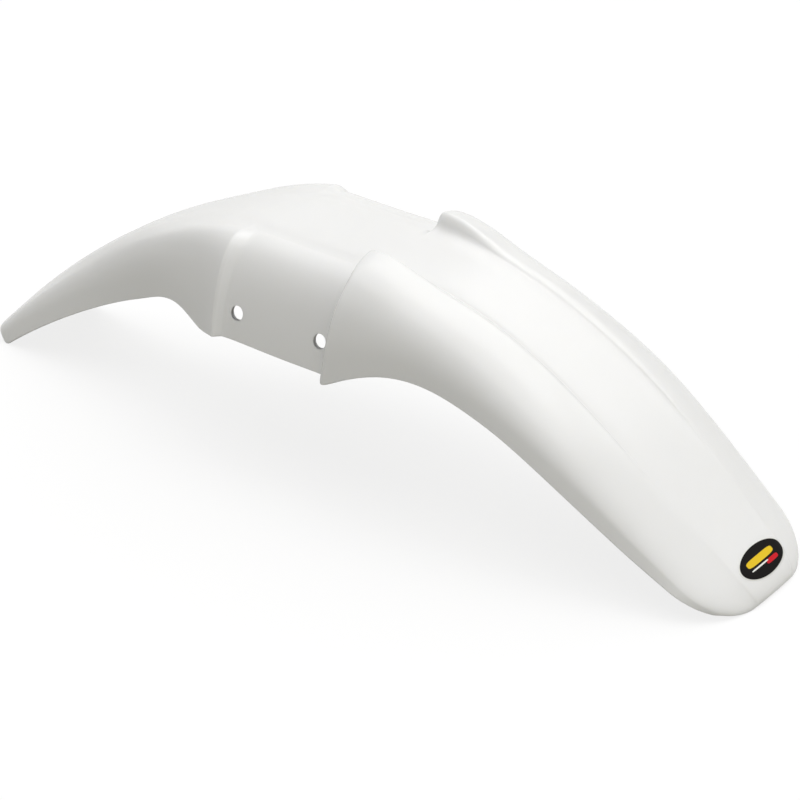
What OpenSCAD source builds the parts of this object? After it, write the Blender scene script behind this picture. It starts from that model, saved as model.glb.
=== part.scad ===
// Motorcycle front mudguard for a tall front wheel, one white plastic moulding.
// X points forward to the blade's tip, Y to the rider's left and Z up, in millimetres.
// It rests on the low ends of its tail and blade, with the origin in the middle of that footprint.

/* [Lengths along the crest] */
// Tail, from the ridge back to its tip
tail_l = 347; // [321:2:381]
// Recess between the fork legs, from the ridge to the flares
recess_l = 115; // [106:1:130]
// Blade, from the flares to its front tip
blade_l = 382; // [350:2:410]

/* [Slope of the crest in degrees, rising forward] */
// Tail at its tip
tail_tip_slope = 45; // [38:0.5:48]
// Tail halfway
tail_mid_slope = 27; // [22:0.5:30]
// Tail just behind the ridge
tail_front_slope = 15.5; // [13:0.5:20]
// Recess
recess_slope = -1; // [-3:0.5:2]
// Blade just ahead of the flares
blade_rear_slope = -10.5; // [-15:0.5:-8]
// Blade a third of the way along
blade_third_slope = -23.5; // [-28:0.5:-21]
// Blade halfway
blade_mid_slope = -35; // [-38:0.5:-31]
// Blade at its tip
blade_tip_slope = -38; // [-42:0.5:-32]

/* [Widths outside, at the shoulders] */
// Tail at its tip
tail_tip_w = 96; // [84:1:108]
// Tail halfway
tail_mid_w = 90; // [82:1:104]
// Ridge, where the tail ends
ridge_w = 161; // [156:1:170]
// Recess
recess_w = 153; // [144:1:155]
// Flares
flare_w = 190; // [178:1:198]
// Blade just ahead of the flares
blade_rear_w = 170; // [160:1:178]
// Blade past its middle
blade_mid_w = 156; // [146:1:166]
// Blade at its tip, before the corners are rounded
blade_tip_w = 130; // [118:1:142]

/* [Depths of the side walls, below the crest] */
// Tail at its tip
tail_tip_d = 24; // [18:1:30]
// Tail halfway
tail_mid_d = 51; // [45:0.5:55]
// Tail before its wall drops to the ridge
tail_front_d = 58; // [52:0.5:64]
// Ridge and recess
recess_d = 76; // [68:0.5:84]
// Flares
flare_d = 81.5; // [77:0.5:90]
// Blade just ahead of the flares
blade_rear_d = 55; // [50:0.5:62]
// Blade a third of the way along
blade_third_d = 37.5; // [33:0.5:42]
// Blade past its middle
blade_mid_d = 26.5; // [22:0.5:30]
// Blade at its tip
blade_tip_d = 15.5; // [13:0.5:19]

/* [Humps] */
// Height of the humps above the channel, just ahead of the flares' rear edge
hump_h = 14.5; // [12:0.1:16]
// Height of the humps at the flares' rear edge, where they start as a dome
hump_rear_h = 12.5; // [9:0.5:14]
// Height of the humps where the flares end
hump_front_h = 5.2; // [4:0.1:8]
// Height of the humps where the channel is narrowest
hump_mid_h = 4.4; // [2:0.1:6]
// Height of the humps past the blade's middle
hump_end_h = 2.8; // [1:0.1:5]
// Width of the channel between the humps at the flares
channel_w = 78; // [70:1:79]
// Width of the channel at its narrowest
channel_mid_w = 64; // [54:1:70]
// Width of the channel past the blade's middle
channel_front_w = 69; // [58:1:72]
// Distance between the crests of the humps at the flares
crest_w = 82; // [80:1:92]
// Distance between the crests of the humps at the channel's narrowest
crest_mid_w = 79; // [74:1:92]
// Distance between the crests of the humps past the blade's middle
crest_front_w = 78; // [74:1:88]

/* [Steps and tip] */
// Length over which the ridge steps in to the recess
ridge_step = 15.5; // [11:0.5:20]
// Length over which the recess steps out to the flares
flare_step = 9; // [7:0.5:14]
// Radius of the lower corners at the tail's tip, seen from the side
tail_r = 3; // [1:0.5:6]
// Lean of the ridge and of the flares' rear edges in degrees
rake = 6; // [2:0.5:10]
// Lean of the humps' rear ends in degrees
hump_rake = 16; // [6:0.5:20]
// Radius of the tip's corners, seen from above
tip_r = 46; // [38:1:52]
// Forward bow of the tip's front edge
tip_bow = 3; // [0:0.5:10]
// Height of the lip that turns down at the tip
lip_h = 8; // [5:0.5:10]
// Length over which the lip turns down
lip_l = 24; // [18:1:30]

/* [Wall and bolt holes] */
// Thickness of the moulding
wall = 3; // [2:0.1:4]
// Diameter of the bolt holes
hole_d = 11.5; // [8:0.5:14]
// Distance between the two bolt holes of a side
hole_pitch = 80; // [70:1:84]
// Depth of the bolt holes below the crest
hole_drop = 52.5; // [45:0.5:56]

/* [Hidden] */
$fn = 64;
plastic_white = [0.93, 0.93, 0.91];

// Places along the crest, with zero in the middle of the recess
ridge_s = -recess_l / 2;
flare_s = recess_l / 2;
tail_s = ridge_s - tail_l;
tip_s = flare_s + blade_l;

// Keys [place, value]: slope of the crest
slope_keys = [
    [tail_s, tail_tip_slope],
    [ridge_s - 0.38 * tail_l, tail_mid_slope],
    [ridge_s - 0.13 * tail_l, tail_front_slope],
    [-0.34 * recess_l, recess_slope],
    [0.34 * recess_l, recess_slope],
    [flare_s + 0.13 * blade_l, blade_rear_slope],
    [flare_s + 0.33 * blade_l, blade_third_slope],
    [flare_s + 0.6 * blade_l, blade_mid_slope],
    [tip_s, blade_tip_slope]
];

// Keys [place, [half width, height of the shoulder, outward lean of the side wall]]
tail_keys = [
    [tail_s, [tail_tip_w / 2, -6.5, 3]],
    [ridge_s - 0.46 * tail_l, [tail_mid_w / 2, -15, 3.5]],
    [ridge_s, [ridge_w / 2, 3, 14]]
];
blade_keys = [
    [flare_s, [flare_w / 2, 6.5, 1]],
    [flare_s + 0.16 * blade_l, [blade_rear_w / 2, -2.3, 1.5]],
    [flare_s + 0.6 * blade_l, [blade_mid_w / 2, -6, 6]],
    [tip_s, [blade_tip_w / 2, -10, 6.5]]
];

// Keys [place, depth of the lower edge]
tail_depths = [
    [tail_s, tail_tip_d],
    [ridge_s - 0.46 * tail_l, tail_mid_d],
    [ridge_s - 0.25 * tail_l, tail_front_d],
    [ridge_s - 0.12 * tail_l, recess_d],
    [ridge_s, recess_d]
];
blade_depths = [
    [flare_s, flare_d],
    [flare_s + 0.16 * blade_l, blade_rear_d],
    [flare_s + 0.4 * blade_l, blade_third_d],
    [flare_s + 0.7 * blade_l, blade_mid_d],
    [tip_s, blade_tip_d]
];

// Keys [place, height of the humps], which sink into the crown at the tip
hump_keys = [
    [flare_s - 5, hump_rear_h],
    [flare_s + 10, hump_h],
    [flare_s + 0.16 * blade_l, hump_front_h],
    [flare_s + 0.3 * blade_l, hump_mid_h],
    [flare_s + 0.6 * blade_l, hump_end_h],
    [flare_s + 0.85 * blade_l, -1.5],
    [tip_s, -4]
];
// Keys [place, [distance from the middle to the channel's edge, to the hump's crest]]
channel_keys = [
    [flare_s, [channel_w / 2, crest_w / 2]],
    [flare_s + 25, [channel_w / 2 - 2.5, crest_w / 2]],
    [flare_s + 0.16 * blade_l, [channel_mid_w / 2 + 1.5, crest_w / 2 - 1]],
    [flare_s + 0.3 * blade_l, [channel_mid_w / 2, crest_mid_w / 2]],
    [flare_s + 0.6 * blade_l, [channel_front_w / 2, crest_front_w / 2]],
    [tip_s, [26, 34]]
];

// Plain crown of the tail and of the recess: edge of its flat, its bend, and how far the bend sinks
function tail_crown(w) = [0.30 * w, 0.55 * w, -2];
recess_crown = [0.19 * recess_w, 0.29 * recess_w, -2.5];
// Shares of the crown and of the side wall that the shoulder's rounding takes, on the tail as keys
tail_rounds = [
    [tail_s, [0.5, 0.5]],
    [ridge_s - 0.46 * tail_l, [0.80, 0.89]],
    [ridge_s, [0.80, 0.89]]
];
recess_round = [0.94, 0.85];
blade_round = [0.92, 0.74];

// Keys [place, share of the rake that the section takes there]
rake_keys = [
    [tail_s, 0],
    [ridge_s - 130, 0.2],
    [ridge_s - 25, 1],
    [flare_s + 15, 1],
    [flare_s + 180, 0.4],
    [tip_s, 0]
];
// Keys [place, shift of the inner skin], which keep the wall even at the steps and at the lip
inner_keys = [
    [tail_s, 0],
    [ridge_s - 40, 0],
    [ridge_s - 6, -wall],
    [ridge_s + 6, -wall],
    [ridge_s + 22, 0],
    [flare_s - 20, 0],
    [flare_s - 5, wall],
    [flare_s + 5, wall],
    [flare_s + 30, 0],
    [tip_s - 40, 0],
    [tip_s, -wall]
];

// Rings, closer together where the form changes quickly
function span(a, b, n) = [for (i = [0 : n - 1]) a + (b - a) * i / n];
tip_zone = 1.6 * tip_r;
rings = concat(
    [for (i = [0 : 2]) tail_s + tail_r * (1 - cos(30 * i))],
    span(tail_s + tail_r, ridge_s - 60, 14),
    span(ridge_s - 60, ridge_s - ridge_step / 2, 5),
    span(ridge_s - ridge_step / 2, ridge_s + ridge_step / 2, 4),
    span(ridge_s + ridge_step / 2, flare_s - flare_step / 2, 6),
    span(flare_s - flare_step / 2, flare_s + flare_step / 2, 4),
    span(flare_s + flare_step / 2, flare_s + 80, 6),
    span(flare_s + 80, tip_s - tip_zone, 13),
    [for (i = [0 : 10]) tip_s - tip_zone + tip_zone * sin(9 * i)]
);

function clamp(x, a, b) = min(max(x, a), b);
function smooth(t) = let(u = clamp(t, 0, 1)) u * u * (3 - 2 * u);
// Sagitta of a circle of radius r at distance x from its top
function sag(x, r) = let(c = clamp(x, 0, r)) r - sqrt(r * r - c * c);

// Smooth curve through keys, for numbers and for lists, held level past both ends
function grade(k, i) = (k[i + 1][1] - k[i][1]) / (k[i + 1][0] - k[i][0]);
function tangent(k, i) =
    i == 0 ? grade(k, 0)
    : i == len(k) - 1 ? grade(k, i - 1)
    : let(a = k[i][0] - k[i - 1][0], b = k[i + 1][0] - k[i][0])
        (grade(k, i - 1) * b + grade(k, i) * a) / (a + b);
function find(k, s, i = 0) = i >= len(k) - 2 || s < k[i + 1][0] ? i : find(k, s, i + 1);
function track(k, s) =
    let(q = clamp(s, k[0][0], k[len(k) - 1][0]), i = find(k, q), h = k[i + 1][0] - k[i][0])
    let(t = (q - k[i][0]) / h, u = t * t, v = t * t * t)
    (2 * v - 3 * u + 1) * k[i][1] + (v - 2 * u + t) * h * tangent(k, i)
    + (3 * u - 2 * v) * k[i + 1][1] + (v - u) * h * tangent(k, i + 1);

// Crest line in X and Z, from its slope
path_step = 2;
path_s = tail_s - 20;
path_n = ceil((tip_s + 20 - path_s) / path_step);
path = [
    for (
        i = 0, p = [0, 0];
        i <= path_n;
        a = track(slope_keys, path_s + (i + 0.5) * path_step),
        p = p + path_step * [cos(a), sin(a)],
        i = i + 1
    ) p
];
function on_path(s) = let(u = (s - path_s) / path_step, i = floor(u)) path[i] + (u - i) * (path[i + 1] - path[i]);
crest_0 = on_path(0);

// Values of the half section at one place: tail, recess and blade, blended at the two steps
function tail_form(s) =
    let(k = track(tail_keys, s), lift = tail_r * sag((tail_s + tail_r - s) / tail_r, 1))
    concat(k, [lift - track(tail_depths, s)], tail_crown(k[0]), track(tail_rounds, s));
recess_form = concat([recess_w / 2, -0.5, 12.5], [-recess_d], recess_crown, recess_round);
function blade_form(s) = concat(
    track(blade_keys, s), [-track(blade_depths, s)], track(channel_keys, s), [track(hump_keys, s)], blade_round
);
function form(s) =
    let(a = clamp((s - ridge_s) / ridge_step + 0.5, 0, 1), b = clamp((s - flare_s) / flare_step + 0.5, 0, 1))
    let(to_recess = a * a, to_blade = b * (2 - b))
    (1 - to_recess) * tail_form(s) + (to_recess - to_blade) * recess_form + to_blade * blade_form(s);

// Half section from the crest to the lower edge: channel, hump, rounded shoulder and side wall
function line(a, b, n) = [for (i = [1 : n]) a + (b - a) * i / n];
function bend(a, b, c, n) =
    [for (i = [1 : n]) let(t = i / n) (1 - t) * (1 - t) * a + 2 * t * (1 - t) * b + t * t * c];
function half(q) =
    let(a = [q[4], 0], b = [q[5], q[6]], c = [q[0], q[1]], d = [q[0] + q[2], q[3]])
    let(a0 = 0.62 * a, a1 = a + 0.45 * (b - a), b0 = b + 0.45 * (a - b))
    let(c0 = c + q[7] * (b - c), c1 = c + q[8] * (d - c))
    concat(
        [[0, 0]], line([0, 0], a0, 1), bend(a0, a, a1, 4), line(a1, b0, 1), bend(b0, b, c0, 4),
        bend(c0, c, c1, 8), line(c1, d, 4)
    );
// The same half section, moved inwards by t
function inset(p, t) = [
    for (j = [0 : len(p) - 1])
        let(d = j == 0 ? [1, 0] : p[min(j + 1, len(p) - 1)] - p[j - 1])
        p[j] + t * [d[1], -d[0]] / norm(d)
];
function both_sides(p) = concat([for (j = [len(p) - 1 : -1 : 1]) [-p[j][0], p[j][1]]], p);

// One ring in space: the tip's corners are rounded, its lip turns down and the section leans
corner = sag(tip_r * sqrt(0.5), tip_r);
function ring(s, p, shift) =
    let(w = smooth((s - tip_s) / (2.2 * tip_r) + 1), edge = p[len(p) - 1], half_w = edge[0])
    let(side = tip_bow * ((half_w - corner) / half_w) ^ 2, out = s - w * (corner + side))
    let(narrow = 1 - sag(out - tip_s + side + tip_r, tip_r) / half_w)
    let(lip = lip_h * sag(clamp((s - tip_s) / lip_l + 1, 0, 1), 1), share = track(rake_keys, s))
    [
        for (c = p)
            let(y = c[0] * (1 - corner / half_w), n = c[1] - lip * (1 - c[1] / edge[1]))
            let(back = w * (sag(abs(y) - half_w + tip_r, tip_r) + tip_bow * (y / half_w) ^ 2))
            let(lean = tan(rake) * (norm([max(-n, 0), 18]) - 18) + tan(hump_rake) * max(n, 0))
            let(q = s - back - share * lean + shift)
            let(o = on_path(q) - crest_0, a = track(slope_keys, q))
            [o[0] - n * sin(a), c[0] * narrow, o[1] + n * cos(a)]
    ];
outer_raw = [for (s = rings) ring(s, both_sides(half(form(s))), 0)];
inner_raw = [for (s = rings) ring(s, both_sides(inset(half(form(s)), wall)), track(inner_keys, s))];

// The part is tipped until both ends touch the ground, and moved so that the ground is Z = 0
function lowest(rows) = let(all = [for (r = rows) each r], z = min([for (p = all) p[2]])) [for (p = all) if (p[2] == z) p][0];
n_rings = len(rings);
n_cols = len(outer_raw[0]);
tail_foot = lowest([for (i = [0 : 8]) outer_raw[i]]);
tip_foot = lowest([for (i = [n_rings - 12 : n_rings - 1]) outer_raw[i]]);
tip_angle = atan2(tip_foot[2] - tail_foot[2], tip_foot[0] - tail_foot[0]);
function tipped(p) = [
    p[0] * cos(tip_angle) + p[2] * sin(tip_angle), p[1], p[2] * cos(tip_angle) - p[0] * sin(tip_angle)
];
skin = [for (r = concat(outer_raw, inner_raw)) for (p = r) tipped(p)];
skin_x = [for (p = skin) p[0]];
ground = [(min(skin_x) + max(skin_x)) / 2, 0, min([for (p = skin) p[2]])];

// Triangles over the outer skin, the inner skin and the edge between them
function outer_id(i, j) = i * n_cols + j;
function inner_id(i, j) = (n_rings + i) * n_cols + j;
function quad(a, b, c, d) = [[a, b, c], [a, c, d]];
skin_faces = concat(
    [
        for (i = [0 : n_rings - 2], j = [0 : n_cols - 2])
            each quad(outer_id(i, j), outer_id(i, j + 1), outer_id(i + 1, j + 1), outer_id(i + 1, j))
    ],
    [
        for (i = [0 : n_rings - 2], j = [0 : n_cols - 2])
            each quad(inner_id(i, j), inner_id(i + 1, j), inner_id(i + 1, j + 1), inner_id(i, j + 1))
    ],
    [
        for (i = [0 : n_rings - 2])
            each quad(outer_id(i, 0), outer_id(i + 1, 0), inner_id(i + 1, 0), inner_id(i, 0))
    ],
    [
        for (i = [0 : n_rings - 2], j = [n_cols - 1])
            each quad(outer_id(i, j), inner_id(i, j), inner_id(i + 1, j), outer_id(i + 1, j))
    ],
    [
        for (j = [0 : n_cols - 2])
            each quad(outer_id(0, j), inner_id(0, j), inner_id(0, j + 1), outer_id(0, j + 1))
    ],
    [
        for (i = [n_rings - 1], j = [0 : n_cols - 2])
            each quad(outer_id(i, j), outer_id(i, j + 1), inner_id(i, j + 1), inner_id(i, j))
    ]
);

// Bolt holes through both side walls, level with each other and either side of the recess's middle
module bolt_holes() {
    mid = tipped([0, 0, 0]) - ground;
    for (side = [-0.5, 0.5])
        translate([mid[0] + side * hole_pitch, 0, mid[2] - hole_drop])
            rotate([90, 0, 0])
                cylinder(h = flare_w + 40, d = hole_d, center = true);
}

// The whole moulding: tail, ridge, recess, flares, humps and blade
module mudguard() {
    color(plastic_white)
        difference() {
            polyhedron(points = [for (p = skin) p - ground], faces = skin_faces, convexity = 6);
            bolt_holes();
        }
}

mudguard();
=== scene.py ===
# %% [markdown]
# # A white moulded front mudguard
# This lesson dresses one motorcycle mudguard. The real one is a single sheet of plastic, moulded in
# one go: a narrow tail, a recess that bolts between the fork legs, and a long blade with two raised
# humps and a channel between them. The measuring model comes first, and everything here sits in its
# frame: X points forward to the blade's tip, Y to the rider's left and Z up.

import bpy
import numpy as np
from mathutils import Matrix, Vector


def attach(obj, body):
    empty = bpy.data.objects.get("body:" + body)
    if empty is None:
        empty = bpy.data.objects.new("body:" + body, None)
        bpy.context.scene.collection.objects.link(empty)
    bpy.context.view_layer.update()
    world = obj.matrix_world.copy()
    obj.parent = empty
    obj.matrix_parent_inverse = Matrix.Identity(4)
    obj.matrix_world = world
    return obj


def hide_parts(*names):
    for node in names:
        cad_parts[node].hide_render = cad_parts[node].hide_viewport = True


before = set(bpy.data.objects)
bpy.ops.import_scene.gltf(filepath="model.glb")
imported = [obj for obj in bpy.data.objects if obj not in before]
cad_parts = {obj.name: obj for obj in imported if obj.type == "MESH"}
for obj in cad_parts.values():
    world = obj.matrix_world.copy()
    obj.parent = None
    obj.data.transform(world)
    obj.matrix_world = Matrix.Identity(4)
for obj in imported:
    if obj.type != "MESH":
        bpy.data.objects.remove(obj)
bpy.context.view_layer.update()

# %% [markdown]
# ## The line of the crest
# A mudguard follows the tyre, so its shape is easiest to describe along its crest. A few heights of
# slope, widths and depths are set at named places, and a smooth curve carries each of them from one
# place to the next. A spline through every value would work too, but this cubic stays close to its
# keys and never swings past them by much.

# %% Lengths and places along the crest, in millimetres
tail_length, recess_length, blade_length = 347.0, 115.0, 382.0
ridge = -recess_length / 2
flare = recess_length / 2
tail_end = ridge - tail_length
blade_tip = flare + blade_length
print("crest runs from", tail_end, "to", blade_tip)


# %% A smooth curve through keys
def keys(*rows):
    """Keys as two arrays: their places, and the row of values at each place."""
    return np.array([row[0] for row in rows], float), np.array([np.atleast_1d(row[1]) for row in rows], float)


def track(table, s):
    """Cubic Hermite curve through the keys. The tangent at a key is the mean of the two grades beside it,
    each weighted by the length of the other span, and the curve is held level past both ends."""
    places, values = table
    s = np.clip(s, places[0], places[-1])
    i = np.clip(np.searchsorted(places, s, side="right") - 1, 0, len(places) - 2)
    step = np.diff(places)
    grade = np.diff(values, axis=0) / step[:, None]
    middle = (grade[:-1] * step[1:, None] + grade[1:] * step[:-1, None]) / (step[:-1] + step[1:])[:, None]
    tangent = np.concatenate([grade[:1], middle, grade[-1:]])
    h = step[i][..., None]
    t = (s - places[i])[..., None] / h
    return (
        (2 * t**3 - 3 * t**2 + 1) * values[i]
        + (t**3 - 2 * t**2 + t) * h * tangent[i]
        + (3 * t**2 - 2 * t**3) * values[i + 1]
        + (t**3 - t**2) * h * tangent[i + 1]
    )


def ease(t):
    """Smooth step from 0 to 1: three t squared less two t cubed."""
    t = np.clip(t, 0, 1)
    return t * t * (3 - 2 * t)


def sag(x, r):
    """How far a circle of radius r has dropped at distance x from its top."""
    x = np.clip(x, 0, r)
    return r - np.sqrt(np.maximum(r * r - x * x, 0))


# %% Slope of the crest and the line that it draws
crest_slope = keys(
    [tail_end, 45],
    [ridge - 0.38 * tail_length, 27],
    [ridge - 0.13 * tail_length, 15.5],
    [-0.34 * recess_length, -1],
    [0.34 * recess_length, -1],
    [flare + 0.13 * blade_length, -10.5],
    [flare + 0.33 * blade_length, -23.5],
    [flare + 0.6 * blade_length, -35],
    [blade_tip, -38],
)
crest_step = 2.0
crest_start = tail_end - 20
middles = crest_start + (np.arange(450) + 0.5) * crest_step
climb = np.radians(track(crest_slope, middles)[:, 0])
crest_line = np.concatenate([[[0, 0]], np.cumsum(crest_step * np.stack([np.cos(climb), np.sin(climb)], 1), axis=0)])


def crest_point(s):
    """Point of the crest line at place s, in X and Z, on the straight pieces between its steps."""
    u = (s - crest_start) / crest_step
    i = np.clip(np.floor(u).astype(int), 0, len(crest_line) - 2)
    return crest_line[i] + (u - i)[..., None] * (crest_line[i + 1] - crest_line[i])


print("crest line:", len(crest_line), "points")

# %% [markdown]
# ## The section across the guard
# Cut across anywhere, the sheet is a flat or channelled crown, a rounded shoulder and a side wall.
# The tail and the recess have a plain crown. The blade has a channel between two humps. At the ridge
# and at the flares one section turns into the next over about a centimetre, which gives the real
# moulding its two steps. The shoulders of the tail and the blade are a shade tighter here than in the
# measuring model, by a millimetre or so, because the light on the real one turns quickly there.

# %% Sizes of the section at its keys
wall = 3.0
ridge_step, flare_step = 15.5, 9.0
tail_corner = 3.0
# place, [half width, height of the shoulder, outward lean of the side wall]
tail_widths = keys([tail_end, [48, -6.5, 3]], [ridge - 0.46 * tail_length, [45, -15, 3.5]], [ridge, [80.5, 3, 14]])
blade_widths = keys(
    [flare, [95, 6.5, 1]],
    [flare + 0.16 * blade_length, [85, -2.3, 1.5]],
    [flare + 0.6 * blade_length, [78, -6, 6]],
    [blade_tip, [65, -10, 6.5]],
)
tail_depths = keys(
    [tail_end, 24],
    [ridge - 0.46 * tail_length, 51],
    [ridge - 0.25 * tail_length, 58],
    [ridge - 0.12 * tail_length, 76],
    [ridge, 76],
)
blade_depths = keys(
    [flare, 81.5],
    [flare + 0.16 * blade_length, 55],
    [flare + 0.4 * blade_length, 37.5],
    [flare + 0.7 * blade_length, 26.5],
    [blade_tip, 15.5],
)
hump_heights = keys(
    [flare - 5, 12.5],
    [flare + 10, 14.5],
    [flare + 0.16 * blade_length, 5.2],
    [flare + 0.3 * blade_length, 4.4],
    [flare + 0.6 * blade_length, 2.8],
    [flare + 0.85 * blade_length, -1.5],
    [blade_tip, -4],
)
# place, [distance from the middle to the channel's edge, and to the hump's crest]
hump_places = keys(
    [flare, [39, 41]],
    [flare + 25, [36.5, 41]],
    [flare + 0.16 * blade_length, [33.5, 40]],
    [flare + 0.3 * blade_length, [32, 39.5]],
    [flare + 0.6 * blade_length, [34.5, 39]],
    [blade_tip, [26, 34]],
)
# place, [share of the crown, share of the side wall] that the shoulder's rounding takes
tail_rounding = keys(
    [tail_end, [0.5, 0.5]],
    [ridge - 0.7 * tail_length, [0.48, 0.5]],
    [ridge - 0.46 * tail_length, [0.58, 0.6]],
    [ridge - 0.2 * tail_length, [0.72, 0.76]],
    [ridge, [0.8, 0.89]],
)
blade_rounding = keys(
    [flare + 0.25 * blade_length, [0.92, 0.74]],
    [flare + 0.65 * blade_length, [0.7, 0.55]],
    [blade_tip, [0.55, 0.4]],
)
recess_row = np.array([76.5, -0.5, 12.5, -76, 0.38 * 76.5, 0.58 * 76.5, -2.5, 0.94, 0.85])


def section_values(s):
    """Row of section values at each place: tail, recess and blade rows, mixed over the ridge and the flares."""
    widths = track(tail_widths, s)
    lift = tail_corner * sag((tail_end + tail_corner - s) / tail_corner, 1)[:, None]
    crown = widths[:, :1] * [0.30, 0.55, 0] - [0, 0, 2]
    tail = np.concatenate([widths, lift - track(tail_depths, s), crown, track(tail_rounding, s)], 1)
    edge = -track(blade_depths, s)
    humps = [track(hump_places, s), track(hump_heights, s)]
    blade = np.concatenate([track(blade_widths, s), edge, *humps, track(blade_rounding, s)], 1)
    to_recess = np.clip((s - ridge - ridge_step / 2) / (0.7 * ridge_step) + 1, 0, 1)[:, None]
    b = np.clip((s - flare) / flare_step + 0.5, 0, 1)[:, None]
    to_blade = b * (2 - b)
    return (1 - to_recess) * tail + (to_recess - to_blade) * recess_row + to_blade * blade


def half_section(rows, counts):
    """Half of each section, from the crest to the lower edge. Straight runs join quadratic bends: the channel's
    edge, the hump's crest and the shoulder. counts gives the points of each run and bend."""
    half_width, shoulder, lean, edge, channel, crest, hump, top_share, wall_share = [c[:, None] for c in rows.T]

    def point(y, z):
        return np.stack(np.broadcast_arrays(y, z), -1)

    a, b = point(channel, 0 * channel), point(crest, hump)
    c, d = point(half_width, shoulder), point(half_width + lean, edge)
    a0, a1, b0 = 0.62 * a, a + 0.45 * (b - a), b + 0.45 * (a - b)
    c0, c1 = c + top_share[..., None] * (b - c), c + wall_share[..., None] * (d - c)

    def run(p, q, n):
        t = (np.arange(1, n + 1) / n)[None, :, None]
        return p + (q - p) * t

    def bend(p, corner, q, n):
        t = (np.arange(1, n + 1) / n)[None, :, None]
        return (1 - t) ** 2 * p + 2 * t * (1 - t) * corner + t * t * q

    n = counts
    channel_half = [0 * a, run(0 * a, a0, n[0]), bend(a0, a, a1, n[1]), run(a1, b0, n[2])]
    outer_half = [bend(b0, b, c0, n[3]), bend(c0, c, c1, n[4]), run(c1, d, n[5])]
    return np.concatenate(channel_half + outer_half, 1)


def inset(p, t):
    """The same half section moved inwards by t, square to its own direction at each point."""
    along = np.empty_like(p)
    along[:, 1:-1] = p[:, 2:] - p[:, :-2]
    along[:, -1] = p[:, -1] - p[:, -2]
    along[:, 0] = [1, 0]
    along /= np.linalg.norm(along, axis=-1, keepdims=True)
    return p + t * np.stack([along[..., 1], -along[..., 0]], -1)


print("section values at the recess:", section_values(np.zeros(1))[0])

# %% [markdown]
# ## Placing a section in space
# Each section stands square to the crest, apart from three things a designer would add. The ridge and
# the flares lean back a little as they go down. The tip's corners are rounded as seen from above. And
# the last two centimetres turn down into a lip, which stiffens the front edge.

# %% Rings in space
rake, hump_lean, lean_start = 6.0, 16.0, 18.0
tip_radius, tip_bow, lip_height, lip_length = 46.0, 3.0, 8.0, 24.0
tip_reach = 2.2 * tip_radius
rake_share = keys(
    [tail_end, 0], [ridge - 130, 0.2], [ridge - 25, 1], [flare + 15, 1], [flare + 180, 0.4], [blade_tip, 0]
)  # fmt: skip
inner_shift = keys(
    [tail_end, 0], [ridge - 40, 0], [ridge - 6, -wall], [ridge + 6, -wall], [ridge + 22, 0], [flare - 20, 0],
    [flare - 5, wall], [flare + 5, wall], [flare + 30, 0], [blade_tip - 40, 0], [blade_tip, -wall],
)  # fmt: skip


def ring(s, p, shift):
    """Points p of the sections at places s, laid in space. Near the tip each point is pulled back by the sag of
    the corner circle, sideways points more; the lip drops by the sag of a quarter circle; and the section leans:
    points below the crest move back by their depth, and points above it by their height, times a tangent."""
    near_tip = ease((s - blade_tip) / tip_reach + 1)[:, None]
    edge = p[:, -1]
    half_width = edge[:, :1]
    corner = sag(tip_radius * np.sqrt(0.5), tip_radius)
    side = tip_bow * ((half_width - corner) / half_width) ** 2
    out = s[:, None] - near_tip * (corner + side)
    narrow = 1 - sag(out - blade_tip + side + tip_radius, tip_radius) / half_width
    lip = lip_height * sag(np.clip((s[:, None] - blade_tip) / lip_length + 1, 0, 1), 1)
    y = p[..., 0] * (1 - corner / half_width)
    n = p[..., 1] - lip * (1 - p[..., 1] / edge[:, 1:])
    back = near_tip * (sag(np.abs(y) - half_width + tip_radius, tip_radius) + tip_bow * (y / half_width) ** 2)
    share = track(rake_share, s)
    below, above = np.hypot(np.maximum(-n, 0), lean_start) - lean_start, np.maximum(n, 0)
    lean = np.tan(np.radians(rake)) * below + np.tan(np.radians(hump_lean)) * above
    q = s[:, None] - back - share * lean + shift[:, None]
    o = crest_point(q) - crest_point(np.zeros(1))
    slope = np.radians(track(crest_slope, q)[..., 0])
    return np.stack([o[..., 0] - n * np.sin(slope), p[..., 0] * narrow, o[..., 1] + n * np.cos(slope)], -1)


def both_sides(half):
    """The half section and its mirror image, from the right lower edge to the left one."""
    return np.concatenate([half[:, :0:-1] * [-1, 1], half], 1)


def skins(s, counts):
    """Outer and inner skin at places s: the inner one is inset by the wall, and shifted along at the steps."""
    half = half_section(section_values(s), counts)
    return ring(s, both_sides(half), 0 * s), ring(s, both_sides(inset(half, wall)), track(inner_shift, s)[:, 0])


# %% Where the measuring model puts its rings
def span(a, b, n):
    return a + (b - a) * np.arange(n) / n


def ring_places(counts):
    """Places of the rings, closer together at the two steps and towards the tip."""
    tip_zone = 1.6 * tip_radius
    a, b = ridge_step / 2, flare_step / 2
    steps = [ridge - a, ridge + a, flare - b, flare + b]
    stops = [tail_end + tail_corner, ridge - 60, *steps, flare + 80, blade_tip - tip_zone]
    spans = [span(p, q, n) for p, q, n in zip(stops[:-1], stops[1:], counts[1:-1])]
    end = tail_end + tail_corner * (1 - np.cos(span(0, np.pi / 2, counts[0])))
    turn = np.sin(np.linspace(0, np.pi / 2, counts[-1] + 1))
    return np.concatenate([end, *spans, blade_tip - tip_zone + tip_zone * turn])


model_counts = (1, 4, 1, 4, 8, 4)
model_outer, model_inner = skins(ring_places((3, 14, 5, 4, 6, 4, 6, 13, 10)), model_counts)


# %% Stand it on the ground
def lowest(grid):
    flat = grid.reshape(-1, 3)
    return flat[flat[:, 2].argmin()]


tail_foot, tip_foot = lowest(model_outer[:9]), lowest(model_outer[-12:])
tilt = np.arctan2(tip_foot[2] - tail_foot[2], tip_foot[0] - tail_foot[0])


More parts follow.
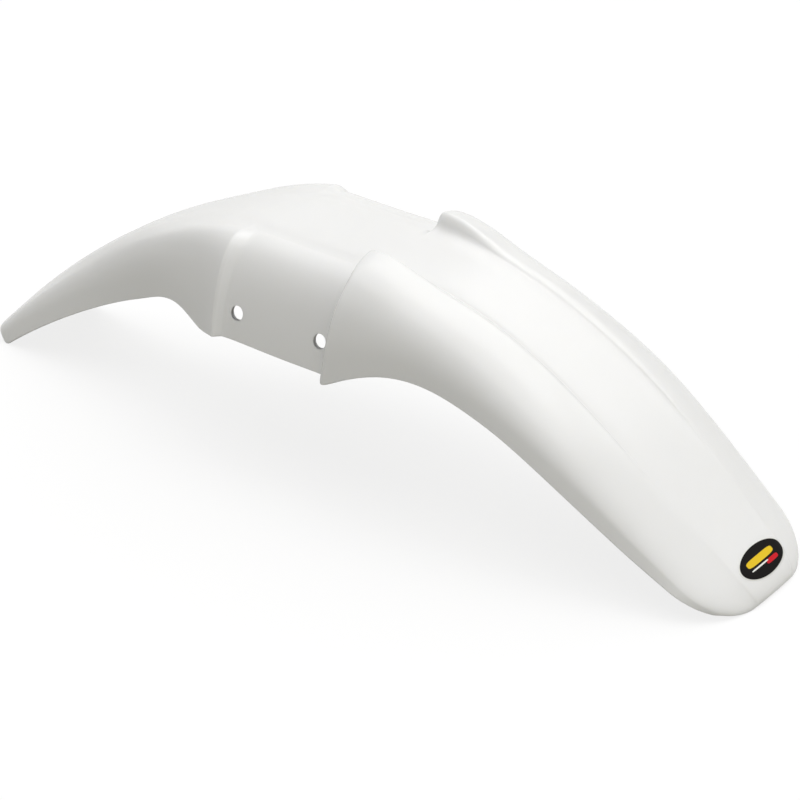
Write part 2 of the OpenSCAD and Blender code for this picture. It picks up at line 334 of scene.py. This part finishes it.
def tipped(p):
    """p turned about Y until the tail's foot and the tip's foot are level."""
    x, z = p[..., 0], p[..., 2]
    return np.stack([x * np.cos(tilt) + z * np.sin(tilt), p[..., 1], z * np.cos(tilt) - x * np.sin(tilt)], -1)


model_points = tipped(np.concatenate([model_outer, model_inner])).reshape(-1, 3)
low, high = model_points.min(0), model_points.max(0)
ground = np.array([(low[0] + high[0]) / 2, 0, low[2]])
print("box in millimetres:", high - low, "tilt in degrees:", np.degrees(tilt))


def stand(p):
    return tipped(p) - ground


# %% [markdown]
# ## From grids to a mesh
# Both skins are grids of the same size. A strip with a rounded profile runs right round their border
# and closes the sheet, because a real moulded edge is never a perfect square. Rounding it in the
# grid, and not with a bevel afterwards, keeps the faces even.

# %% Grid helpers
def grid_quads(ids, closed=False):
    """Corner numbers of the faces between neighbouring rows and columns of a table of point numbers."""
    if closed:
        ids = np.concatenate([ids, ids[:1]])
    return np.stack([ids[:-1, :-1], ids[:-1, 1:], ids[1:, 1:], ids[1:, :-1]], -1).reshape(-1, 4)


def build_mesh(name, points_mm, faces):
    """A mesh object from points in millimetres and a table of faces, written in whole arrays."""
    mesh = bpy.data.meshes.new(name)
    corners = faces.shape[1]
    mesh.vertices.add(len(points_mm))
    mesh.vertices.foreach_set("co", (points_mm / 1000).astype(np.float32).ravel())
    mesh.loops.add(faces.size)
    mesh.loops.foreach_set("vertex_index", faces.astype(np.int32).ravel())
    mesh.polygons.add(len(faces))
    mesh.polygons.foreach_set("loop_start", np.arange(len(faces), dtype=np.int32) * corners)
    mesh.update(calc_edges=True)
    mesh.validate()
    mesh.polygons.foreach_set("use_smooth", np.ones(len(faces), bool))
    piece = bpy.data.objects.new(name, mesh)
    bpy.context.scene.collection.objects.link(piece)
    return piece


# %% The closed sheet
def unit(v):
    return v / np.linalg.norm(v, axis=-1, keepdims=True)


def border(grid):
    """The grid's outermost points in one loop, row by row and side by side."""
    return np.concatenate([grid[0], grid[1:, -1], grid[-1, -2::-1], grid[-2:0:-1, 0]])


def border_reach(grid, most):
    """Vectors that point outwards along the sheet at its border, at most `most` long and always well under the
    width of the outermost faces. They are zero inside the grid."""
    reach = np.zeros_like(grid)
    rows = [np.s_[0], np.s_[1]], [np.s_[-1], np.s_[-2]]
    columns = [np.s_[:, 0], np.s_[:, 1]], [np.s_[:, -1], np.s_[:, -2]]
    for edge, beside in rows + columns:
        step = grid[edge] - grid[beside]
        length = np.linalg.norm(step, axis=-1, keepdims=True)
        reach[edge] += unit(step) * np.minimum(most, 0.6 * length)
    return reach


def closed_sheet(name, outer, inner, edge_round=0.8, strip=6):
    """Outer skin, inner skin and a rounded strip between their borders."""
    reach = border_reach(outer, edge_round)
    inner_reach = border_reach(inner, edge_round)
    outer, inner = outer - reach, inner - inner_reach
    rows, columns = outer.shape[:2]
    outer_ids = np.arange(rows * columns).reshape(rows, columns)
    inner_ids = outer_ids + rows * columns
    a, b = border(outer), border(inner)
    bulge = (border(reach) + border(inner_reach)) / 2
    t = (1 - np.cos(np.pi * np.arange(1, strip) / strip))[None, :, None] / 2
    height = (1 - np.abs(2 * t - 1) ** 2.5) ** 0.4
    strip_points = a[:, None] * (1 - t) + b[:, None] * t + bulge[:, None] * height
    strip_ids = 2 * rows * columns + np.arange(len(a) * (strip - 1)).reshape(len(a), strip - 1)
    ribbon = np.concatenate([border(outer_ids[..., None]), strip_ids, border(inner_ids[..., None])], 1)
    edge_faces = grid_quads(ribbon, closed=True)[:, ::-1]
    faces = np.concatenate([grid_quads(outer_ids), grid_quads(inner_ids)[:, ::-1], edge_faces])
    points = np.concatenate([outer.reshape(-1, 3), inner.reshape(-1, 3), strip_points.reshape(-1, 3)])
    return build_mesh(name, points, faces)


fine_counts = (4, 10, 5, 12, 22, 6)
places = ring_places((8, 54, 24, 18, 20, 18, 26, 72, 34))
outer_skin, inner_skin = [stand(g) for g in skins(places, fine_counts)]
guard = closed_sheet("guard_shell", outer_skin, inner_skin)
print("guard:", len(guard.data.polygons), "faces")

# %% [markdown]
# ## Bolt holes
# Two round holes go through each side wall of the recess. They are drilled with a Boolean modifier,
# which is applied at once so that the finished piece carries no live modifier.

# %% Drill the holes
hole_diameter, hole_spacing, hole_drop = 11.5, 80.0, 52.5
recess_middle = stand(np.zeros(3))


def drill(name, x, z, radius, length, sides=64):
    """A closed cylinder along Y as one grid of rings, with fan centres at both ends."""
    turn = 2 * np.pi * np.arange(sides) / sides
    circle = np.stack([x + radius * np.cos(turn), 0 * turn, z + radius * np.sin(turn)], -1)
    rings = [circle + [0, y, 0] for y in (-length / 2, length / 2)]
    points = np.concatenate([*rings, [[x, -length / 2, z], [x, length / 2, z]]])
    i = np.arange(sides)
    j = (i + 1) % sides
    near_centre, far_centre = 0 * i + 2 * sides, 0 * i + 2 * sides + 1
    walls = [np.stack([i, i + sides, j], -1), np.stack([j, i + sides, j + sides], -1)]
    caps = [np.stack([i, j, near_centre], -1), np.stack([j + sides, i + sides, far_centre], -1)]
    return build_mesh(name, points, np.concatenate(walls + caps))


def cut(piece, tool):
    """piece less tool, as a plain mesh."""
    boolean = piece.modifiers.new("cut", "BOOLEAN")
    boolean.operation, boolean.solver, boolean.object = "DIFFERENCE", "EXACT", tool
    depsgraph = bpy.context.evaluated_depsgraph_get()
    result = bpy.data.meshes.new_from_object(piece.evaluated_get(depsgraph))
    piece.modifiers.clear()
    piece.data = result
    bpy.data.objects.remove(tool)


for side in (-0.5, 0.5):
    x = recess_middle[0] + side * hole_spacing
    cut(guard, drill("drill", x, recess_middle[2] - hole_drop, hole_diameter / 2, 230))
guard.data.set_sharp_from_angle(angle=np.radians(50))
print("after drilling:", len(guard.data.polygons), "faces")

# %% [markdown]
# ## Shader arithmetic
# Node trees get long when every sum is a node placed by hand. Here a small class wraps a socket and
# turns Python's operators into Math nodes, so that a pattern reads like a formula.


# %% A socket that can be calculated with
class Value:
    """One output socket of a material's node tree."""

    def __init__(self, tree, socket=None):
        self.tree, self.socket = tree, socket

    def node(self, kind, settings=None, output=0, **inputs):
        """Adds a node of that type, sets its settings, then its sockets by name or number, and returns one output."""
        made = self.tree.nodes.new(kind)
        for key, setting in (settings or {}).items():
            setattr(made, key, setting)
        for key, given in inputs.items():
            target = made.inputs[int(key[1:]) if key[1:].isdigit() else key.replace("_", " ")]
            if isinstance(given, Value):
                self.tree.links.new(given.socket, target)
            else:
                target.default_value = given
        return Value(self.tree, made.outputs[output] if made.outputs else None)

    def math(self, operation, a, b=0.0, clamp=False):
        return self.node("ShaderNodeMath", {"operation": operation, "use_clamp": clamp}, i0=a, i1=b)

    def __add__(self, other):
        return self.math("ADD", self, other)

    __radd__ = __add__

    def __sub__(self, other):
        return self.math("SUBTRACT", self, other)

    def __rsub__(self, other):
        return self.math("SUBTRACT", other, self)

    def __mul__(self, other):
        return self.math("MULTIPLY", self, other)

    __rmul__ = __mul__

    def __truediv__(self, other):
        return self.math("DIVIDE", self, other)

    def below(self, limit, blur):
        """1 where the value is under the limit and 0 above it, with a soft edge of width blur."""
        return self.math("ADD", (limit - self) / blur, 0.5, clamp=True)


def new_material(name):
    """An empty material, its shader node and a Value to start formulas from."""
    material = bpy.data.materials.new(name)
    material.use_nodes = True
    tree = material.node_tree
    tree.nodes.clear()
    shader = tree.nodes.new("ShaderNodeBsdfPrincipled")
    output = tree.nodes.new("ShaderNodeOutputMaterial")
    tree.links.new(shader.outputs["BSDF"], output.inputs["Surface"])
    return material, shader, Value(tree)


def feed(shader, name, value):
    value.tree.links.new(value.socket, shader.inputs[name])


# %% [markdown]
# ## White moulded plastic
# Polypropylene from a polished mould is glossy but never a mirror: the surface has a faint ripple from
# cooling and a very fine grain, and the white leans a little towards warm grey. Light also goes a few
# millimetres into it and comes out again, which keeps the walls of the holes from turning black.

# %% Plastic
plastic, shader, start = new_material("white_plastic")
where = start.node("ShaderNodeTexCoord", output=3)
ripple = start.node("ShaderNodeTexNoise", Vector=where, Scale=26.0, Detail=2.0)
grain = start.node("ShaderNodeTexNoise", Vector=where, Scale=900.0, Detail=1.0)
cloud = start.node("ShaderNodeTexNoise", Vector=where, Scale=9.0, Detail=3.0)
whites = {"i6": (0.86, 0.86, 0.855, 1), "i7": (0.875, 0.875, 0.87, 1)}
colour = start.node("ShaderNodeMix", {"data_type": "RGBA"}, output=2, Factor=cloud, **whites)
feed(shader, "Base Color", colour)
feed(shader, "Roughness", 0.16 + 0.04 * grain + 0.04 * cloud)
height = 0.9 * ripple + 0.1 * grain
feed(shader, "Normal", start.node("ShaderNodeBump", Height=height, Strength=0.06, Distance=0.001))
shader.inputs["IOR"].default_value = 1.49
shader.inputs["Subsurface Weight"].default_value = 0.4
shader.inputs["Subsurface Radius"].default_value = (1.0, 0.97, 0.9)
shader.inputs["Subsurface Scale"].default_value = 0.005
guard.data.materials.clear()
guard.data.materials.append(plastic)
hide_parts("mudguard")
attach(guard, "root")
print("plastic:", len(plastic.node_tree.nodes), "nodes")

# %% [markdown]
# ## The oval label
# A small printed label sits on the crown just behind the tip. It is a thin vinyl disc that follows the
# surface, so its grid is laid on the same skin and lifted by a tenth of a millimetre.

# %% Label grid
label_place, label_offset = blade_tip - 23.8, 2.7
label_half_width, label_half_length = 28.6, 12.2
label_lift = 0.12


def skin_under(s, y):
    """Points of the outer skin at places s and distances y from the middle, from a fine patch of rings."""
    rows = np.linspace(s.min() - 1, s.max() + 1, 90)
    patch = stand(ring(rows, both_sides(half_section(section_values(rows), (20, 20, 10, 20, 20, 4))), 0 * rows))
    across = np.linspace(-40, 40, 321)
    table = np.stack([[np.interp(across, row[:, 1], row[:, k]) for k in range(3)] for row in patch])
    u, v = (s - rows[0]) / (rows[1] - rows[0]), (y - across[0]) / (across[1] - across[0])
    i, j = u.astype(int), v.astype(int)
    fu, fv = (u - i)[..., None], (v - j)[..., None]
    at = lambda a, b: np.moveaxis(table, 1, 2)[a, b]
    return (1 - fu) * ((1 - fv) * at(i, j) + fv * at(i, j + 1)) + fu * ((1 - fv) * at(i + 1, j) + fv * at(i + 1, j + 1))


def oval_disc(name, rings=24, sides=120):
    """A disc of rings round a centre point: each ring is an ellipse on the skin, lifted along the skin's normal,
    and the last ring drops back to the skin as the vinyl's cut edge."""
    share = np.concatenate([np.linspace(0, 1, rings + 1)[1:], [1.003]])
    turn = 2 * np.pi * np.arange(sides) / sides
    y = label_offset + label_half_width * share[:, None] * np.cos(turn)
    s = label_place + label_half_length * share[:, None] * np.sin(turn)
    on_skin = skin_under(s, y)
    along, across = skin_under(s + 0.4, y) - skin_under(s - 0.4, y), skin_under(s, y + 0.4) - skin_under(s, y - 0.4)
    up = unit(np.cross(along, across))
    lift = np.where(share < 1.001, label_lift, -0.02)[:, None, None]
    points = on_skin + up * lift
    centre = points[0].mean(0)
    ids = np.arange(points.shape[0] * sides).reshape(-1, sides)
    closed = np.concatenate([ids, ids[:, :1]], 1)
    quads = grid_quads(closed)
    faces = np.concatenate([quads[:, [0, 1, 2]], quads[:, [0, 2, 3]]])
    first = np.roll(ids[0], -1)
    fan = np.stack([0 * first + ids.size, first, ids[0]], -1)
    piece = build_mesh(name, np.concatenate([points.reshape(-1, 3), [centre]]), np.concatenate([faces, fan])[:, ::-1])
    flat = np.stack([share[:, None] * np.cos(turn), share[:, None] * np.sin(turn)], -1).reshape(-1, 2)
    flat = np.concatenate([flat, [[0, 0]]]) * 0.49 + 0.5
    corners = np.empty(len(piece.data.loops), np.int32)
    piece.data.loops.foreach_get("vertex_index", corners)
    piece.data.uv_layers.new(name="label").data.foreach_set("uv", flat[corners].astype(np.float32).ravel())
    return piece


label = oval_disc("oval_label")
print("label:", len(label.data.polygons), "faces")

# %% Label inks
vinyl, shader, start = new_material("label_vinyl")
spot = start.node("ShaderNodeUVMap", {"uv_map": "label"})
parts = start.node("ShaderNodeSeparateXYZ", Vector=spot).socket.node
u = (Value(start.tree, parts.outputs[0]) - 0.5) / 0.49
v = (Value(start.tree, parts.outputs[1]) - 0.5) / 0.49
square = u * u + v * v
radius = square.math("SQRT", square)
pale_rim = 1.0 - radius.below(0.955, 0.02)


def bar(across, tall, side, centre):
    """Mask of a rounded bar: a superellipse of the fourth power, in shares of its half width and half height."""
    du, dv = (u - side) / across, (v - centre) / tall
    return (du * du * du * du + dv * dv * dv * dv).below(1.0, 0.15)


amber = bar(0.60, 0.22, -0.04, -0.16)
red = bar(0.26, 0.14, 0.32, 0.34)
pale_bar = bar(0.38, 0.05, -0.22, 0.24)


def mix(mask, under, over):
    return start.node("ShaderNodeMix", {"data_type": "RGBA"}, output=2, Factor=mask, i6=under, i7=over)


ink = mix(amber, (0.012, 0.011, 0.011, 1), (0.80, 0.55, 0.03, 1))
ink = mix(red, ink, (0.62, 0.02, 0.03, 1))
pale = pale_rim + pale_bar
ink = mix(pale.math("MINIMUM", pale, 1.0), ink, (0.80, 0.80, 0.76, 1))
feed(shader, "Base Color", ink)
feed(shader, "Roughness", 0.28 + 0.1 * amber)
shader.inputs["Specular IOR Level"].default_value = 0.05
label.data.materials.append(vinyl)
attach(label, "root")
print("vinyl:", len(vinyl.node_tree.nodes), "nodes")

# %% [markdown]
# ## Studio
# The photograph is a catalogue shot: a camera a good way off, a broad soft light above, white all
# round. The floor shows white to the camera but still takes the guard's shadow, and a camera under it
# looks straight through it at the guard's inner side.

# %% Camera
eye = Vector((1.01943, -1.28142, 0.90292))
target = Vector((0.034244, -0.000021, 0.048042))
roll = np.radians(-0.1252)
camera_data = bpy.data.cameras.new("camera")
camera_data.lens, camera_data.sensor_width = 105.88, 36.0
camera_data.clip_end = 60
camera = bpy.data.objects.new("camera", camera_data)
bpy.context.scene.collection.objects.link(camera)
aimed = (target - eye).to_track_quat("-Z", "Y").to_matrix().to_4x4()
camera.matrix_world = Matrix.Translation(eye) @ aimed @ Matrix.Rotation(roll, 4, "Z")
bpy.context.scene.camera = camera


# %% Lights and white surroundings
def lamp(name, kind, energy, place, aim, **settings):
    data = bpy.data.lights.new(name, kind)
    data.energy = energy
    for key, setting in settings.items():
        setattr(data, key, setting)
    made = bpy.data.objects.new(name, data)
    turned = (Vector(aim) - Vector(place)).to_track_quat("-Z", "Y").to_matrix().to_4x4()
    made.matrix_world = Matrix.Translation(place) @ turned
    bpy.context.scene.collection.objects.link(made)
    return made


def from_angles(azimuth, elevation, distance=2.0):
    """A place round the guard: azimuth 0 is on the -Y side and 90 on the +X side, in degrees."""
    a, e = np.radians(azimuth), np.radians(elevation)
    return Vector((np.sin(a) * np.cos(e), -np.cos(a) * np.cos(e), np.sin(e))) * distance


wide, warm = np.radians(60), (1.0, 0.99, 0.93)
lamp("overhead", "SUN", 1.08, from_angles(0, 88), (0, 0, 0), angle=wide)
lamp("behind", "SUN", 1.11, from_angles(180, 62), (0, 0, 0), angle=wide)
lamp("near_front", "SUN", 0.60, from_angles(45, 5), (0, 0, 0), angle=wide, color=warm)
lamp("ahead", "SUN", 0.42, from_angles(90, 5), (0, 0, 0), angle=wide, color=warm)
lamp("far_side", "SUN", 0.24, from_angles(225, 5), (0, 0, 0), angle=wide, color=warm)

world = bpy.data.worlds.new("studio")
world.use_nodes = True
bpy.context.scene.world = world
world.node_tree.nodes.clear()
sky = Value(world.node_tree)
rays = sky.node("ShaderNodeLightPath").socket.node.outputs
ray_kinds = "Is Camera Ray", "Is Glossy Ray", "Is Transmission Ray"
to_camera, to_gloss, to_glass = [Value(world.node_tree, rays[kind]) for kind in ray_kinds]
strength = 0.35 + 0.65 * to_camera + 0.15 * to_gloss + 0.65 * to_glass
whites = {"i6": (1, 0.995, 0.98, 1), "i7": (1, 1, 1, 1)}
tint = sky.node("ShaderNodeMix", {"data_type": "RGBA"}, output=2, Factor=to_camera, **whites)
background = sky.node("ShaderNodeBackground", Color=tint, Strength=strength)
sky.node("ShaderNodeOutputWorld", Surface=background)

# %% Floor
floor_reach = 9000.0
floor_corners = floor_reach * np.array([[-1, -1, 0], [1, -1, 0], [1, 1, 0], [-1, 1, 0]])
floor_mesh = build_mesh("floor", floor_corners, np.array([[0, 1, 2, 3]]))
paper, shader, start = new_material("white_paper")
shader.inputs["Base Color"].default_value = (0.30, 0.295, 0.26, 1)
shader.inputs["Roughness"].default_value = 1.0
shader.inputs["Specular IOR Level"].default_value = 0.0
rays = start.node("ShaderNodeLightPath").socket.node.outputs
to_camera, to_gloss = [Value(start.tree, rays[kind]) for kind in ray_kinds[:2]]
lit_white = start.node("ShaderNodeBsdfDiffuse", Color=(0.98, 0.98, 0.98, 1))
plain_white = start.node("ShaderNodeEmission", Color=(1, 1, 1, 1), Strength=1.0)
seen_white = start.node("ShaderNodeMixShader", i0=0.8, i1=lit_white, i2=plain_white)
bounce = Value(start.tree, shader.outputs["BSDF"])
from_above = start.node("ShaderNodeMixShader", i0=to_camera + 0.7 * to_gloss, i1=bounce, i2=seen_white)
from_below = start.node("ShaderNodeNewGeometry").socket.node.outputs["Backfacing"]
see_through = start.node("ShaderNodeBsdfTransparent", Color=(1, 1, 1, 1))
surface = start.node("ShaderNodeMixShader", i0=Value(start.tree, from_below), i1=from_above, i2=see_through)
output = [n for n in paper.node_tree.nodes if n.type == "OUTPUT_MATERIAL"][0]
start.tree.links.new(surface.socket, output.inputs["Surface"])
floor_mesh.data.materials.append(paper)

bpy.context.scene.view_settings.view_transform = "Standard"
